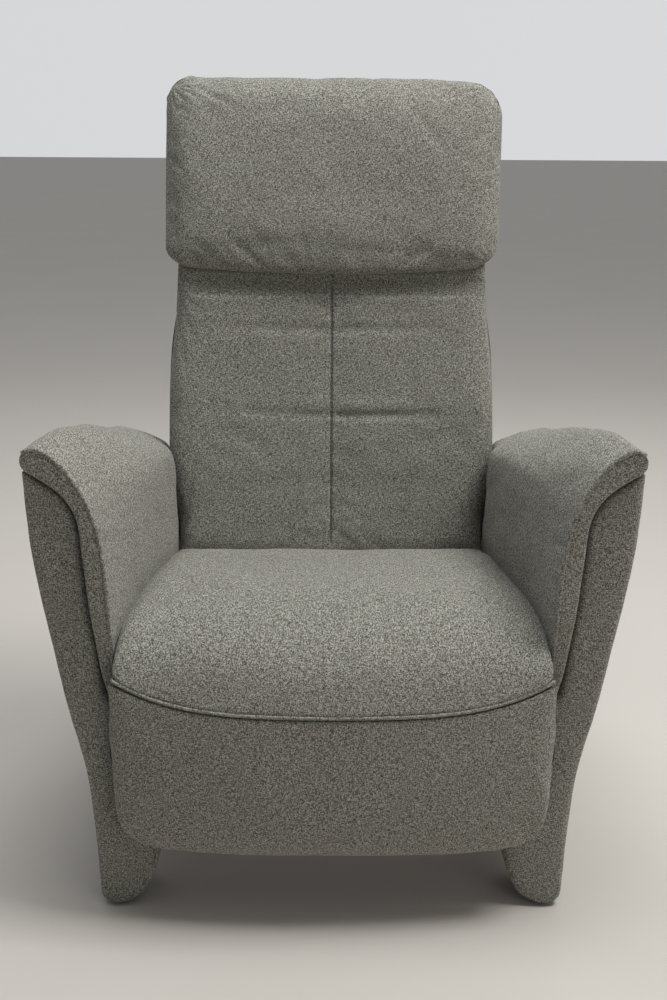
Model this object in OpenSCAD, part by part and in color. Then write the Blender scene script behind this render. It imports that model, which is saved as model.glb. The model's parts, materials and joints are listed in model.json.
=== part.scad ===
// Recliner armchair: upholstered wing sides with feet, padded arms, sprung seat,
// swing-up leg rest driven by a side handle, reclining back on a locking gas
// spring, and a headrest that tilts forward. Millimetres, +Z up, the sitter
// faces -Y, and the origin is the centre of the footprint on the floor.

/* [Arms and sides] */
// Plan taper of each side, sideways shift per millimetre of depth
side_taper = 0.0437; // [0.030:0.001:0.050]
// Height of the arm pad's crest at the front
arm_crest = 655; // [640:1:665]
// Height of the arm pad's crest where it meets the back
arm_crest_rear = 563; // [550:1:575]
// Thickness of the plywood core in each side
board_t = 18; // [12:1:20]

/* [Seat] */
// Height of the seat cushion's crown
seat_crown = 430; // [424:1:436]
// Diameter of the seat spring wire
spring_wire = 3.8; // [3:0.1:4]
// Number of zigzag springs under the seat
spring_count = 5; // [3:1:5]

/* [Leg rest] */
// Forward bulge of the leg rest at its middle, measured from the hinge
leg_bulge = 58; // [54:1:60]
// Half width of the leg rest pad
leg_half_w = 295; // [285:1:296]
// Radius of the drive shaft that carries the cranks and the handle
shaft_r = 9; // [8:0.5:9]
// Distance from the shaft to the handle's tip
handle_len = 105; // [95:5:110]

/* [Back and headrest] */
// Half width of the back cushion
back_half_w = 259; // [250:1:260]
// Half width of the headrest pad
head_half_w = 269; // [255:1:272]
// Length of the headrest pad along the back
head_top = 763; // [740:1:770]
// Radius of the gas spring's cylinder
gas_r = 13; // [11:0.5:13]
// Width of each back webbing strap
strap_w = 50; // [40:5:60]

/* [Hidden] */
$fn = 32;
y0 = 33.4;              // puts the origin at the middle of the depth
back_a = 15;          // lean of the back at rest
F0 = [105, 392];      // foot of the back cushion's face, y and z
H = [-375, 335];      // leg rest hinge axis
A = [-135, 292];      // drive shaft axis
R = [35, -75];        // crank arm, shaft to crank pin
B = H + R;            // link pin on the leg rest
C = A + R;            // link pin on the crank
P = [175, 365];       // recline axis
Q = [253, 808];       // headrest hinge axis
lever_r = 95;         // gas spring lever
Lp = P + lever_r*[sin(20), -cos(20)];
gz = 272.9;           // gas spring axis height
S = [10, 270];        // recline release spindle
cb = cos(back_a); sb = sin(back_a);
// back-plane coordinates [depth, height] of a world [y, z] point
function bl(p) = [ (p[0]-F0[0])*cb - (p[1]-F0[1])*sb, (p[0]-F0[0])*sb + (p[1]-F0[1])*cb ];
Pb = bl(P);
Qb = bl(Q);
fabric = [0.43, 0.42, 0.39];
steel = [0.12, 0.12, 0.13];
wood = [0.76, 0.60, 0.40];
zinc = [0.70, 0.71, 0.73];
black = [0.06, 0.06, 0.06];

// ---------- helpers ----------
function lerp(a, b, t) = a + (b - a)*t;
function clamp(t) = max(0, min(1, t));
module xcyl(r, x0, x1, p) { translate([x0, p[0], p[1]]) rotate([0, 90, 0]) cylinder(r = r, h = x1 - x0); }
module xplate(x0, x1) { translate([x0, 0, 0]) rotate([90, 0, 90]) linear_extrude(height = x1 - x0) children(); }
module ycyl(r, y1, y2, x, z) { translate([x, y2, z]) rotate([90, 0, 0]) cylinder(r = r, h = y2 - y1); }
module box(a, b) { translate(a) cube(b - a); }
module both() { children(); mirror([1, 0, 0]) children(); }
module bar2(p, q, rp, rq) { hull() { translate(p) circle(r = rp); translate(q) circle(r = rq); } }
module on_back() { translate([0, F0[0], F0[1]]) rotate([-back_a, 0, 0]) children(); }

// Loft through sections. Each section is a list of [outer point, inner point]
// pairs, so the ends close as strips whatever the outline's shape.
module strip_loft(secs) {
  n = len(secs[0]); m = len(secs);
  pts = [for (s = secs) for (i = [0:n-1]) s[i][0], for (s = secs) for (i = [0:n-1]) s[i][1]];
  function o(j, i) = j*n + i;
  function q(j, i) = m*n + j*n + i;
  faces = [
    for (j = [0:m-2]) for (i = [0:n-2]) each [[o(j,i), o(j,i+1), o(j+1,i)], [o(j,i+1), o(j+1,i+1), o(j+1,i)]],
    for (j = [0:m-2]) for (i = [0:n-2]) each [[q(j,i), q(j+1,i), q(j,i+1)], [q(j,i+1), q(j+1,i), q(j+1,i+1)]],
    for (j = [0:m-2]) each [[o(j,0), o(j+1,0), q(j,0)], [q(j,0), o(j+1,0), q(j+1,0)]],
    for (j = [0:m-2]) each [[o(j,n-1), q(j,n-1), o(j+1,n-1)], [q(j,n-1), q(j+1,n-1), o(j+1,n-1)]],
    for (i = [0:n-2]) each [[o(0,i), q(0,i), o(0,i+1)], [q(0,i), q(0,i+1), o(0,i+1)]],
    for (i = [0:n-2]) each [[o(m-1,i), o(m-1,i+1), q(m-1,i)], [q(m-1,i), o(m-1,i+1), q(m-1,i+1)]]
  ];
  polyhedron(points = pts, faces = faces);
}

// ---------- side shape ----------
crest_y = [-390, -280, -150, 0, 130, 220, 280, 320, 345];
crest_z = [arm_crest, arm_crest, arm_crest-18, arm_crest-48, arm_crest-76, arm_crest_rear, arm_crest_rear-25, arm_crest_rear-60, arm_crest_rear-95];
function crest(y) = lookup(y, [for (i = [0:8]) [crest_y[i], crest_z[i]]]);
function kz(y) = (crest(y) - 33 - 316)/(655 - 33 - 316);
function zs(z, y) = z <= 316 ? z : 316 + (z - 316)*kz(y);
function xs(x, y) = x - (y + 360)*side_taper;
function slant(z) = -17*pow(clamp(z/600), 1.5);
// wing section, outer and inner outline from the foot to the top
wing_o = [[308,5],[317,12],[321,40],[324,80],[328,130],[335,190],[345,240],[353,272],[359,300],[364,327],[370,360],[376,392],[388,457],[397,518],[401,560],[403,590],[403,612],[402,622]];
wing_i = [[290,5],[272,14],[252,42],[241,75],[239,120],[243,180],[247,235],[250,264],[275,285],[301,311],[309,341],[315,389],[321,440],[328,510],[335,562],[352,590],[378,610],[399,622]];
wn = len(wing_o);
function wing_pt(i, y, side, inset, front) =
  let (a = side == 0 ? wing_o[i] : wing_i[i], c = (wing_o[i] + wing_i[i])/2,
       w = max(1, norm(wing_o[i] - wing_i[i])/2),
       s = max(0.35, 1 - inset/w), p = lerp(c, a, s))
  [xs(p[0], y), y + (front ? slant(p[1]) : 0), zs(p[1], y)];
function wing_sec(y, inset, front) = [for (i = [0:wn-1]) [wing_pt(i, y, 0, inset, front), wing_pt(i, y, 1, inset, front)]];
// plywood core, midway between the outlines
function core_x(z) = lookup(z, [for (i = [0:wn-1]) [(wing_o[i][1] + wing_i[i][1])/2, (wing_o[i][0] + wing_i[i][0])/2]]);
core_z = [5, 60, 120, 190, 240, 285, 325, 390, 450, 515, 560];
function core_sec(y, t) = [for (z = core_z) let (up = z > 550 && t > board_t ? 1.5 : 0) [[xs(core_x(z) + t/2, y), y, zs(z, y) + up], [xs(core_x(z) - t/2, y), y, zs(z, y) + up]]];

module leg_arch() {
  // gap between front and rear foot, open to the floor
  rotate([90, 0, 90]) linear_extrude(height = 700, center = true)
    polygon([[-250, -1], [-245, 40], [-232, 70], [-205, 88], [-160, 95], [150, 95], [190, 88], [218, 70], [230, 40], [236, -1]]);
}
module side_board(extra = 0) {
  difference() {
    strip_loft([core_sec(-335 - extra, board_t + extra), core_sec(-150, board_t + extra), core_sec(0, board_t + extra), core_sec(130, board_t + extra), core_sec(220, board_t + extra), core_sec(310 + extra, board_t + extra)]);
    rotate([90, 0, 90]) linear_extrude(height = 700, center = true)
      polygon([[-272 + extra, -1], [-266 + extra, 45], [-250 + extra, 80], [-215 + extra, 104 - extra], [-160, 110 - extra], [150, 110 - extra], [200 - extra, 104 - extra], [236 - extra, 80], [250 - extra, 45], [256 - extra, -1]]);
  }
}
module bolt_holes(r) { for (y = [-299.5, 228]) xcyl(r, 240, 320, [y, 205]); }
module side_panel(side) {
  color(fabric) difference() {
    strip_loft([wing_sec(-355, 9, true), wing_sec(-346, 1.5, true), wing_sec(-330, 0, true), wing_sec(-280, 0, false), wing_sec(-150, 0, false), wing_sec(0, 0, false), wing_sec(130, 0, false), wing_sec(220, 0, false), wing_sec(280, 0, false), wing_sec(318, 0, false), wing_sec(336, 4, false), wing_sec(343, 14, false)]);
    leg_arch();
    side_board(1);
    box([200, -313, 184], [290, -286, 226]);
    box([200, 214, 184], [290, 242, 226]);
    for (y = [-299.5, 228]) xcyl(10, 280, 312, [y, 205]);
    if (side < 0) { xcyl(12, 240, 380, A); xcyl(6, 220, 380, S); } // shaft and spindle
  }
}
module core(side) {
  color(wood) difference() {
    side_board(0);
    bolt_holes(4.2);
    if (side < 0) { xcyl(12, 240, 380, A); xcyl(6, 220, 380, S); } // shaft and spindle
  }
}

// ---------- arm pad ----------
pad_o = [[299.4,313.6],[307.4,342],[313.4,389.5],[319.2,440.5],[326.2,510.5],[333,563.4],[350.4,592.2],[377,612.4],[399,624.6],[405,632],[406,641]];
pad_f = [[2,316],[0.5,345],[1,385],[3,440],[8,505],[17,555],[33,596],[56,630],[79,650],[99,656],[111,652]];
pad_r = [[0,316],[0,345],[0,385],[0,430],[0,480],[1,515],[6,535],[28,548],[62,558],[98,563],[112,556]];
pn = len(pad_o);
function xin(y) = lookup(y, [[-390, 292], [-360, 289], [100, 246], [118, 248], [150, 261], [230, 261]]);
function pad_in(i, y) = let (t = clamp((y + 360)/580), zf = 316 + (pad_f[i][1] - 316)*(crest(y) - 315)/(656 - 315), zr = 316 + (pad_r[i][1] - 316)*(crest(y) - 315)/(563 - 315))
  [xin(y) + lerp(pad_f[i][0], pad_r[i][0], t), lerp(zf, zr, t)];
function pad_slant(z) = 19*clamp((450 - z)/120);
function pad_sec(y, inset, front) = [for (i = [0:pn-1])
  let (o = [xs(pad_o[i][0], y), zs(pad_o[i][1], y)], a = pad_in(i, y), c = (o + a)/2, w = norm(o - a)/2, s = max(0.5, 1 - inset/w),
       po = lerp(c, o, s), pi = lerp(c, a, s), dy = front ? pad_slant(pad_o[i][1]) : 0)
  [[po[0], y + dy, po[1]], [pi[0], y + dy, pi[1]]]];
module arm_pad() {
  color(fabric) strip_loft([pad_sec(-384, 6, true), pad_sec(-376, 1, true), pad_sec(-362, 0, true), pad_sec(-325, 0, false), pad_sec(-240, 0, false), pad_sec(-150, 0, false), pad_sec(-60, 0, false), pad_sec(30, 0, false), pad_sec(100, 0, false), pad_sec(118, 0, false), pad_sec(150, 0, false), pad_sec(190, 0, false), pad_sec(212, 2, false), pad_sec(219, 8, false)]);
}

// ---------- base frame ----------
module floor_glides() {
  color(black) for (p = [[-305, xs(299, -305)], [283, xs(299, 283)]]) both() translate([p[1], p[0], 0]) cylinder(r1 = 9.5, r2 = 10.5, h = 5);
}
module cross_rail(y1, y2) {
  x = 276 - (y1 > 0 ? 26 : 0);
  color(wood) difference() {
    box([-x, y1, 185], [x, y2, 225]);
    both() xcyl(4.1, x - 60, x + 1, [(y1 + y2)/2, 205]);
  }
}
module cross_rail_bolts() {
  color(zinc) both() for (p = [[-299.5, 299.8], [228, 276.3]]) { xcyl(4, p[1] - 60, p[1] + 3.5, [p[0], 205]); xcyl(8, p[1] + 3.5, p[1] + 8, [p[0], 205]); }
}
module seat_rail() {
  color(wood) difference() {
    xplate(183, 208) polygon([[-330, 225], [240, 225], [240, 288], [112, 288], [100, 312], [-330, 312]]);
    xcyl(13, 170, 220, A);
  }
}
module front_seat_rail() { color(wood) box([-183, -330, 288], [183, -300, 312]); }
module rear_seat_rail() { color(wood) box([-183, 70, 288], [183, 95, 312]); }

// zigzag spring swept along its wire: rings of 6 points
sp_z = 312 + spring_wire/2 + 0.4;
function zig(i, s) = // s runs from 0 to 1 along a wave of 14 half loops
  let (n = 14, u = s*n, w = 16) [w*sin(180*u), lerp(-322, 87, s) + 6*sin(360*u), sp_z];
module spring(x) {
  n = 84; k = 6; r = spring_wire/2;
  path = [for (j = [0:n]) zig(0, j/n)];
  ring = [for (j = [0:n]) let (a = path[max(0, j-1)], b = path[min(n, j+1)], d = (b - a)/norm(b - a), nx = [-d[1], d[0], 0])
           [for (t = [0:k-1]) path[j] + r*(cos(360*t/k)*nx + sin(360*t/k)*[0,0,1])]];
  translate([x, 0, 0]) polyhedron(points = [for (q = ring) for (p = q) p],
    faces = [for (j = [0:n-1]) for (t = [0:k-1]) let (a = j*k + t, b = j*k + (t+1)%k, c = a + k, e = b + k) each [[a, b, c], [b, e, c]],
             [for (t = [k-1:-1:0]) t], [for (t = [0:k-1]) n*k + t]]);
}
spring_x = [for (i = [0:spring_count-1]) (i - (spring_count - 1)/2)*72];
module seat_springs() { color(zinc) for (x = spring_x) spring(x); }
module spring_clips() {
  color(steel) for (x = spring_x) for (y = [-312, 78])
    difference() { box([x - 26, y - 7, 312], [x + 26, y + 7, 317.6]); box([x - 24, y - 8, 312], [x + 24, y + 8, 316.7]); }
}
module spring_felt() { color(black) box([-182, -322, 317.8], [182, 95, 320]); }

// ---------- seat cushion ----------
roll_y = -376; // behind this the cushion is firm, in front it is a soft roll that gives way to the leg rest
function bulge(x) = leg_bulge - 35*pow(x/290, 2);
module barrel(extra, hw) {
  translate([0, H[0], H[1]]) rotate([0, 90, 0]) rotate_extrude($fn = 64)
    polygon(concat([[0, -hw]], [for (i = [-8:8]) [bulge(hw*i/8) + extra, hw*i/8]], [[0, hw]]));
}
module seat_form() {
  difference() {
    intersection() {
      translate([0, 0, 320.3]) linear_extrude(height = 140)
        polygon(concat([for (i = [-8:8]) [288.5*i/8, H[0] - bulge(288.5*i/8)]], [[289, -384], [245, 96], [-245, 96], [-289, -384]]));
      rotate([90, 0, 90]) linear_extrude(height = 620, center = true)
        polygon([[97, 300], [97, 394], [88, 402], [20, seat_crown - 22], [-60, seat_crown - 12], [-188, seat_crown - 3], [-290, seat_crown], [-350, seat_crown - 3], [-390, seat_crown - 14], [-414, seat_crown - 36], [-426, seat_crown - 58], [-434, 349], [-376, 347], [-376, 300]]);
      rotate([90, 0, 0]) linear_extrude(height = 1000, center = true)
        polygon([[-292, 300], [-292, 392], [-276, 407], [-210, 420], [-100, 428], [0, seat_crown], [100, 428], [210, 420], [276, 407], [292, 392], [292, 300]]);
    }
    barrel(2, 300);
    for (s = [-1, 1]) box([s*181 - 16, -378, 300], [s*181 + 16, -318, 352]);
  }
}
module seat_cushion() { color(fabric) intersection() { seat_form(); box([-300, roll_y, 300], [300, 120, 460]); } }
module seat_front_roll() { color(fabric) intersection() { seat_form(); box([-300, -450, 300], [300, roll_y, 460]); } }

// ---------- leg rest ----------
module leg_rest_hinge_brackets() {
  color(steel) both() difference() {
    union() {
      xplate(177, 182) { bar2(H, [-342, 312], 13, 9); translate([-352, 296]) square([22, 21]); }
      box([182, -334, 292], [204, -330, 312]);
    }
    xcyl(5, 170, 190, H);
    for (x = [189, 198]) ycyl(2.5, -340, -325, x, 302);
  }
}
module leg_rest_hinge_pins() { color(zinc) both() { xcyl(5, 169.5, 182, H); xcyl(8, 182, 185, H); xcyl(7.5, 167, 169.5, H); } }
module leg_rest_board() {
  color(wood) difference() {
    box([-222, -372, 128], [222, -358.2, 294]);
    both() for (z = [215, 275]) ycyl(3, -380, -350, 185, z);
  }
}
module leg_rest_pad() {
  color(fabric) difference() {
    intersection() {
      union() {
        translate([0, 0, 90]) linear_extrude(height = 245)
          polygon(concat([for (i = [-8:8]) [leg_half_w*i/8, H[0] - bulge(leg_half_w*i/8)]], [[leg_half_w, -369], [226, -369], [226, -372.3], [-226, -372.3], [-226, -369], [-leg_half_w, -369]]));
        intersection() { barrel(0, 288); box([-300, -450, 300], [300, -373, 420]); }
      }
      rotate([90, 0, 0]) linear_extrude(height = 1000, center = true)
        polygon([[-296, 300], [-296, 195], [-292, 150], [-282, 124], [-263, 109], [-225, 101], [-150, 98], [150, 98], [225, 101], [263, 109], [282, 124], [292, 150], [296, 195], [296, 300], [288, 335], [286, 420], [-286, 420], [-288, 335]]);
      rotate([90, 0, 90]) linear_extrude(height = 620, center = true)
        polygon([[-440, 420], [-440, 240], [-432, 195], [-429, 142], [-422, 113], [-408, 99], [-395, 97], [-360, 97], [-360, 420]]);
    }
    both() box([160, -391, 296], [190, -340, 420]);
  }
}
module leg_rest_brackets() {
  color(steel) both() difference() {
    union() {
      xplate(171, 175) { bar2(H, [-345, 300], 13, 9.5); bar2([-345, 300], B, 9.5, 12); polygon([[-358, 205], [-358, 290], [-345, 300], [-330, 262], [-345, 230]]); }
      box([175, -358, 205], [198, -355, 285]);
    }
    xcyl(5.05, 165, 180, H);
    xcyl(4, 165, 180, B);
    for (z = [215, 275]) ycyl(3, -362, -350, 185, z);
  }
}
module leg_rest_link_pins() { color(zinc) both() { xcyl(4, 161.6, 175, B); xcyl(7, 175, 177.5, B); xcyl(6.5, 159.5, 161.6, B); } }

// ---------- drive ----------
module shaft_bushes() { color(black) both() difference() { xcyl(13, 183, 208, A); xcyl(shaft_r + 0.05, 180, 210, A); } }
module drive_shaft() { color(zinc) xcyl(shaft_r, -361, 214, A); }
module drive_cranks() {
  color(steel) both() difference() {
    xplate(171, 175) bar2(A, C, 15, 11);
    xcyl(shaft_r, 165, 180, A);
    xcyl(4, 165, 180, C);
  }
}
module crank_pins() { color(zinc) both() { xcyl(4, 161.6, 175, C); xcyl(7, 175, 177.5, C); xcyl(6.5, 159.5, 161.6, C); } }
module drive_links() {
  color(steel) both() difference() {
    xplate(164, 168) bar2(C, B, 9, 9);
    xcyl(4.05, 160, 170, C);
    xcyl(4.05, 160, 170, B);
  }
}
handle_a = 92; // handle's angle below the forward horizontal at rest
hd = [-cos(handle_a), -sin(handle_a)];
module side_handle() {
  color(steel) difference() {
    union() {
      xcyl(16, -366, -353.5, A);
      xplate(-364, -358) bar2(A, A + (handle_len - 16)*hd, 13, 8);
    }
    xcyl(shaft_r, -361, -340, A);
  }
}
module handle_grip() {
  color(black) difference() {
    xplate(-367, -355.5) bar2(A + (handle_len - 52)*hd, A + handle_len*hd, 11, 14);
    xplate(-364.1, -357.9) bar2(A, A + (handle_len - 16)*hd, 13.1, 8.1);
  }
}
module handle_escutcheon() { color(black) difference() { xcyl(20, -352.5, -342, A); xcyl(shaft_r + 0.6, -400, -340, A); intersection() { xcyl(30, -358, -300, A); strip_loft_clear(); } } }
module strip_loft_clear() { translate([-0.3, 0, 0]) mirror([1, 0, 0]) strip_loft([wing_sec(-280, 0, false), wing_sec(-150, 0, false), wing_sec(0, 0, false), wing_sec(130, 0, false)]); }

// ---------- recline ----------
module recline_brackets() {
  color(steel) both() difference() {
    xplate(208.6, 213.6) { bar2(P, [175, 300], 14, 20); translate([150, 232]) square([50, 68]); }
    xcyl(6, 200, 220, P);
    for (y = [160, 190]) for (z = [245, 275]) xcyl(3.2, 200, 220, [y, z]);
  }
}
module recline_pins() { color(zinc) both() { xcyl(6, 196, 213.6, P); xcyl(9, 213.6, 217, P); } }
module gas_spring_anchor_tube() {
  color(steel) difference() {
    union() { xcyl(9, -183, 183, [-90, gz]); both() xplate(11.5, 15) bar2([-90, gz], [-66, gz], 12, 9); }
    xcyl(6, -190, 190, [-90, gz]);
    xcyl(3.5, -20, 20, [-66, gz]);
  }
}
module gas_spring_release_head() {
  color(black) difference() {
    box([-11, -77, gz - 11], [11, -48, gz + 11]);
    xcyl(13, -12, -2, [-90, gz]); xcyl(13, -12, 12, [-90, gz]);
    ycyl(5, -60, -40, 0, gz);
    translate([-16, -58, gz - 16]) cube([8, 6, 12]);
  }
  color(zinc) { xcyl(3.5, -17, -11, [-66, gz]); xcyl(3.5, 11, 17, [-66, gz]); }
}
module gas_spring_rod() { color(zinc) ycyl(5, -60, 100, 0, gz); }
module gas_spring_cylinder() {
  color(steel) difference() {
    union() { ycyl(gas_r, 40, 178, 0, gz); ycyl(6.5, 176, 198, 0, gz); xcyl(13, -8, 8, [Lp[0], gz]); }
    ycyl(5.06, 39, 170, 0, gz);
    xcyl(7.5, -10, 10, [Lp[0], gz]);
  }
}

// ---------- release lever ----------
module release_escutcheon() { color(black) difference() { xcyl(16, -343, -334, S); xcyl(4.5, -350, -320, S); strip_loft_clear2(); } }
module strip_loft_clear2() { translate([-0.3, 0, 0]) mirror([1, 0, 0]) strip_loft([wing_sec(-150, 0, false), wing_sec(0, 0, false), wing_sec(130, 0, false)]); }
module release_spindle() {
  color(zinc) { xcyl(4, -352, -222, S); xplate(-227, -223.4) difference() { bar2(S, S + [0, -22], 9, 6); translate(S + [0, -22]) circle(r = 2); } }
}
module release_lever() {
  color(black) difference() {
    union() { xcyl(12, -356, -345, S); xplate(-356, -348) bar2(S, S + [-62, 6], 11, 8); }
    xcyl(4, -352, -340, S);
  }
}
cable_pts = [[-225.2, 11, 238.5], [-224.5, 4, 234.5], [-217, -8, 232], [-208, -16, 223], [-192, -22, 217], [-170, -27, 216], [-140, -32, 220], [-110, -37, 228], [-82, -42, 238], [-60, -46, 247], [-42, -50, 254], [-28, -53, 259], [-16.5, -55, 262]];
module release_cable() {
  k = 8; r = 2.2; n = len(cable_pts) - 1;
  ring = [for (j = [0:n]) let (a = cable_pts[max(0, j-1)], b = cable_pts[min(n, j+1)], d = (b - a)/norm(b - a),
           u = cross(d, [0, 0, 1])/norm(cross(d, [0, 0, 1])), v = cross(u, d))
           [for (t = [0:k-1]) cable_pts[j] + r*(cos(360*t/k)*u + sin(360*t/k)*v)]];
  color(black) polyhedron(points = [for (q = ring) for (p = q) p],
    faces = [for (j = [0:n-1]) for (t = [0:k-1]) let (a = j*k + t, b = j*k + (t+1)%k, c = a + k, e = b + k) each [[a, c, b], [b, c, e]],
             [for (t = [0:k-1]) t], [for (t = [k-1:-1:0]) n*k + t]]);
}

// ---------- back ----------
module back_uprights() {
  color(steel) on_back() both() {
    box([196, 62, 30], [221, 87, 430]);
    difference() { xplate(201, 206) { bar2(Pb, [74.5, 40], 15, 12); } xcyl(6.05, 195, 210, Pb); }
  }
}
module back_cross_rails() {
  color(steel) on_back() {
    box([-196, 66, 405], [196, 83, 430]);
    box([-196, 66, 60], [196, 83, 85]);
    box([-196, 68, 235], [196, 81, 255]);
  }
}
module back_pivot_tube() { color(steel) difference() { xcyl(12, -201, 201, P); xcyl(9.2, -205, 205, P); } }
module gas_lever_plates() {
  color(steel) both() difference() {
    xplate(10, 15) bar2(P, Lp, 14.6, 12);
    xcyl(12, 5, 20, P); xcyl(4, 5, 20, Lp);
  }
}
module gas_lever_pin() { color(zinc) { xcyl(4, -16, 16, Lp); both() xcyl(7, 16, 18.5, Lp); } }
module back_webbing() {
  color(black) on_back() for (z = [70, 145, 220, 295, 370]) box([-221, 59.6, z - strap_w/2], [221, 61.9, z + strap_w/2]);
}
back_edge = [[243, -100], [243, 55], [back_half_w-4, 95], [back_half_w, 150], [back_half_w, 250], [back_half_w-4, 350], [back_half_w-9, 420], [back_half_w-12, 480]];
arcP = [for (a = [180:12:258]) Pb + 74.5*[cos(a), sin(a)]];
module back_cushion() {
  color(fabric) on_back() intersection() {
    translate([0, 0, -100]) linear_extrude(height = 600)
      polygon([for (s = [-1, 1]) for (p = (s < 0 ? [[-back_half_w,59.3],[-back_half_w,40],[-back_half_w+7,27],[-back_half_w+19,17],[-220,10],[-180,4],[-120,1],[0,0]] : [[120,1],[180,4],[220,10],[back_half_w-19,17],[back_half_w-7,27],[back_half_w,40],[back_half_w,59.3]])) p]);
    rotate([90, 0, 90]) linear_extrude(height = 600, center = true)
      polygon(concat([[0, 418]], arcP, [[59.3, -80], [59.3, 403], [19, 403], [19, 440]], [for (a = [134:7:176]) Qb + 46*[cos(a), sin(a)]], [[Qb[0]-46, 432], [-7, 424]]));
    rotate([90, 0, 0]) linear_extrude(height = 1000, center = true)
      polygon([for (s = [-1, 1]) for (p = (s < 0 ? back_edge : [for (i = [len(back_edge)-1:-1:0]) back_edge[i]])) [s*p[0], p[1]]]);
  }
}
module back_rear_cover() {
  color(fabric) on_back() difference() {
    intersection() {
      translate([0, 0, 24]) linear_extrude(height = 448)
        polygon([[-257, 60.3], [-257, 96], [-250, 108], [-230, 114], [-120, 117], [0, 118], [120, 117], [230, 114], [250, 108], [257, 96], [257, 60.3]]);
      rotate([90, 0, 0]) linear_extrude(height = 1000, center = true)
        polygon([[-243, 20], [-243, 55], [-255, 95], [-257, 250], [-252, 380], [-248, 440], [-236, 466], [-218, 474], [218, 474], [236, 466], [248, 440], [252, 380], [257, 250], [255, 95], [243, 55], [243, 20]]);
      rotate([90, 0, 90]) linear_extrude(height = 600, center = true)
        polygon([[60.3, 28], [90, 28], [118, 52], [120, 440], [112, 464], [96, 474], [60.3, 474]]);
    }
    box([-222.5, 50, 10], [222.5, 88.5, 432]);
  }
}

// ---------- headrest ----------
module headrest_hinge_brackets() {
  color(steel) on_back() both() difference() {
    xplate(184, 189) { hull() { translate(Qb) circle(r = 11); translate([58, 407]) square([8, 21]); } }
    xcyl(6, 180, 195, Qb);
  }
}
module headrest_hinge_rod() { color(zinc) on_back() { xcyl(6, -190, 190, Qb); both() xcyl(9, 190, 193, Qb); } }
module headrest_arms() {
  color(steel) on_back() both() difference() {
    union() { xcyl(11, 150, 175, Qb); box([150, Qb[0]-3, Qb[1]], [175, Qb[0]+3, 560]); }
    xcyl(6.05, 140, 180, Qb);
  }
}
module headrest_plate() { color(steel) on_back() box([-175, Qb[0]-3, 560], [175, Qb[0]+3, 640]); }
module headrest_pad() {
  color(fabric) on_back() difference() {
    intersection() {
      translate([0, 0, 420]) linear_extrude(height = 400)
        polygon([[-head_half_w,60],[-head_half_w,0],[-head_half_w+8,-14],[-head_half_w+25,-24],[-200,-30],[-100,-34],[100,-34],[200,-30],[head_half_w-25,-24],[head_half_w-8,-14],[head_half_w,0],[head_half_w,60],[head_half_w-12,78],[head_half_w-40,86],[-head_half_w+40,86],[-head_half_w+12,78]]);
      rotate([90, 0, 90]) linear_extrude(height = 600, center = true)
        polygon([[-14,434],[-24,437],[-31,446],[-34,470],[-36,560],[-34,660],[-28,710],[-16,740],[2,head_top-7],[20,head_top],[42,head_top-3],[64,head_top-17],[78,718],[85,670],[87,600],[87,520],[84,492],[76,482],[30,482],[-8,434]]);
      rotate([90, 0, 0]) linear_extrude(height = 1000, center = true)
        polygon([[-head_half_w,480],[-head_half_w,700],[-head_half_w+5,735],[-head_half_w+22,756],[-head_half_w+60,head_top-1],[0,head_top+1],[head_half_w-60,head_top-1],[head_half_w-22,756],[head_half_w-5,735],[head_half_w,700],[head_half_w,480],[head_half_w-6,460],[head_half_w-20,446],[190,438],[80,432],[0,430],[-80,432],[-190,438],[-head_half_w+20,446],[-head_half_w+6,460]]);
    }
    xcyl(49, -300, 300, Qb);
    box([-177.5, Qb[0]-4, 400], [177.5, Qb[0]+4, 642]);
  }
}

// ---------- nodes ----------
module placed() { translate([0, y0, 0]) children(); }
module left() { children(); }
module right() { mirror([1, 0, 0]) children(); }
placed() left() side_panel(1);  // left_side_panel
placed() right() side_panel(-1);  // right_side_panel
placed() left() core(1);  // left_side_board
placed() right() core(-1);  // right_side_board
placed() left() arm_pad();  // left_arm_pad
placed() right() arm_pad();  // right_arm_pad
placed() floor_glides();
placed() cross_rail(-312, -287);  // front_cross_rail
placed() cross_rail(215.5, 240.5);  // rear_cross_rail
placed() cross_rail_bolts();
placed() seat_rail();  // left_seat_rail
placed() right() seat_rail();  // right_seat_rail
placed() front_seat_rail();
placed() rear_seat_rail();
placed() seat_springs();
placed() spring_clips();
placed() spring_felt();
placed() seat_cushion();
placed() seat_front_roll();
placed() leg_rest_hinge_brackets();
placed() leg_rest_hinge_pins();
placed() shaft_bushes();
placed() handle_escutcheon();
placed() recline_brackets();
placed() recline_pins();
placed() gas_spring_anchor_tube();
placed() gas_spring_release_head();
placed() gas_spring_rod();
placed() release_escutcheon();
placed() release_cable();
placed() leg_rest_board();
placed() leg_rest_pad();
placed() leg_rest_brackets();
placed() leg_rest_link_pins();
placed() drive_shaft();
placed() drive_cranks();
placed() crank_pins();
placed() side_handle();
placed() handle_grip();
placed() drive_links();
placed() back_uprights();
placed() back_cross_rails();
placed() back_pivot_tube();
placed() gas_lever_plates();
placed() gas_lever_pin();
placed() back_webbing();
placed() back_cushion();
placed() back_rear_cover();
placed() headrest_hinge_brackets();
placed() headrest_hinge_rod();
placed() headrest_arms();
placed() headrest_plate();
placed() headrest_pad();
placed() gas_spring_cylinder();
placed() release_spindle();
placed() release_lever();
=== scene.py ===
import bpy, bmesh, math, json
import numpy as np
from mathutils import Vector, Matrix


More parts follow.
